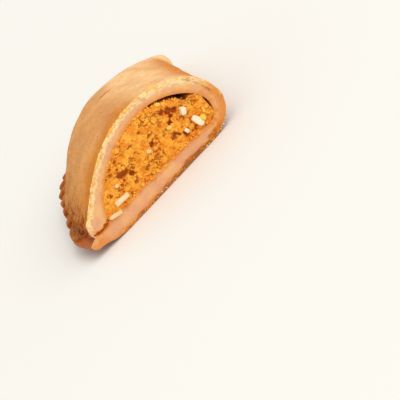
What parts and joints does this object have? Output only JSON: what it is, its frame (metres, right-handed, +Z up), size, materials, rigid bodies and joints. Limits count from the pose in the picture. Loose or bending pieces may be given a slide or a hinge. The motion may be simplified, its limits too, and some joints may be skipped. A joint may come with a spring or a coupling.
{
  "type": "halved baked empanada",
  "caption": "Cut half of a baked turnover pastry with a fork-crimped rim, pointed end and minced filling showing at the flat cut face.",
  "frame": {"origin": "middle of the footprint, on the floor that the flat bottom crust rests on", "axes": "+X from the pressed rim to the fold, +Y from the cut face to the pointed far end, +Z up"},
  "size_m": [0.0884, 0.0676, 0.0356],
  "materials": {
    "baked_dough": "golden baked dough with a thin egg glaze, pale and matte where it is cut",
    "minced_filling": "moist crumbly orange mince",
    "egg": "diced boiled egg white and yolk crumbs"
  },
  "bodies": {
    "root": {"crust": "baked_dough", "filling": "minced_filling"}
  },
  "joints": []
}
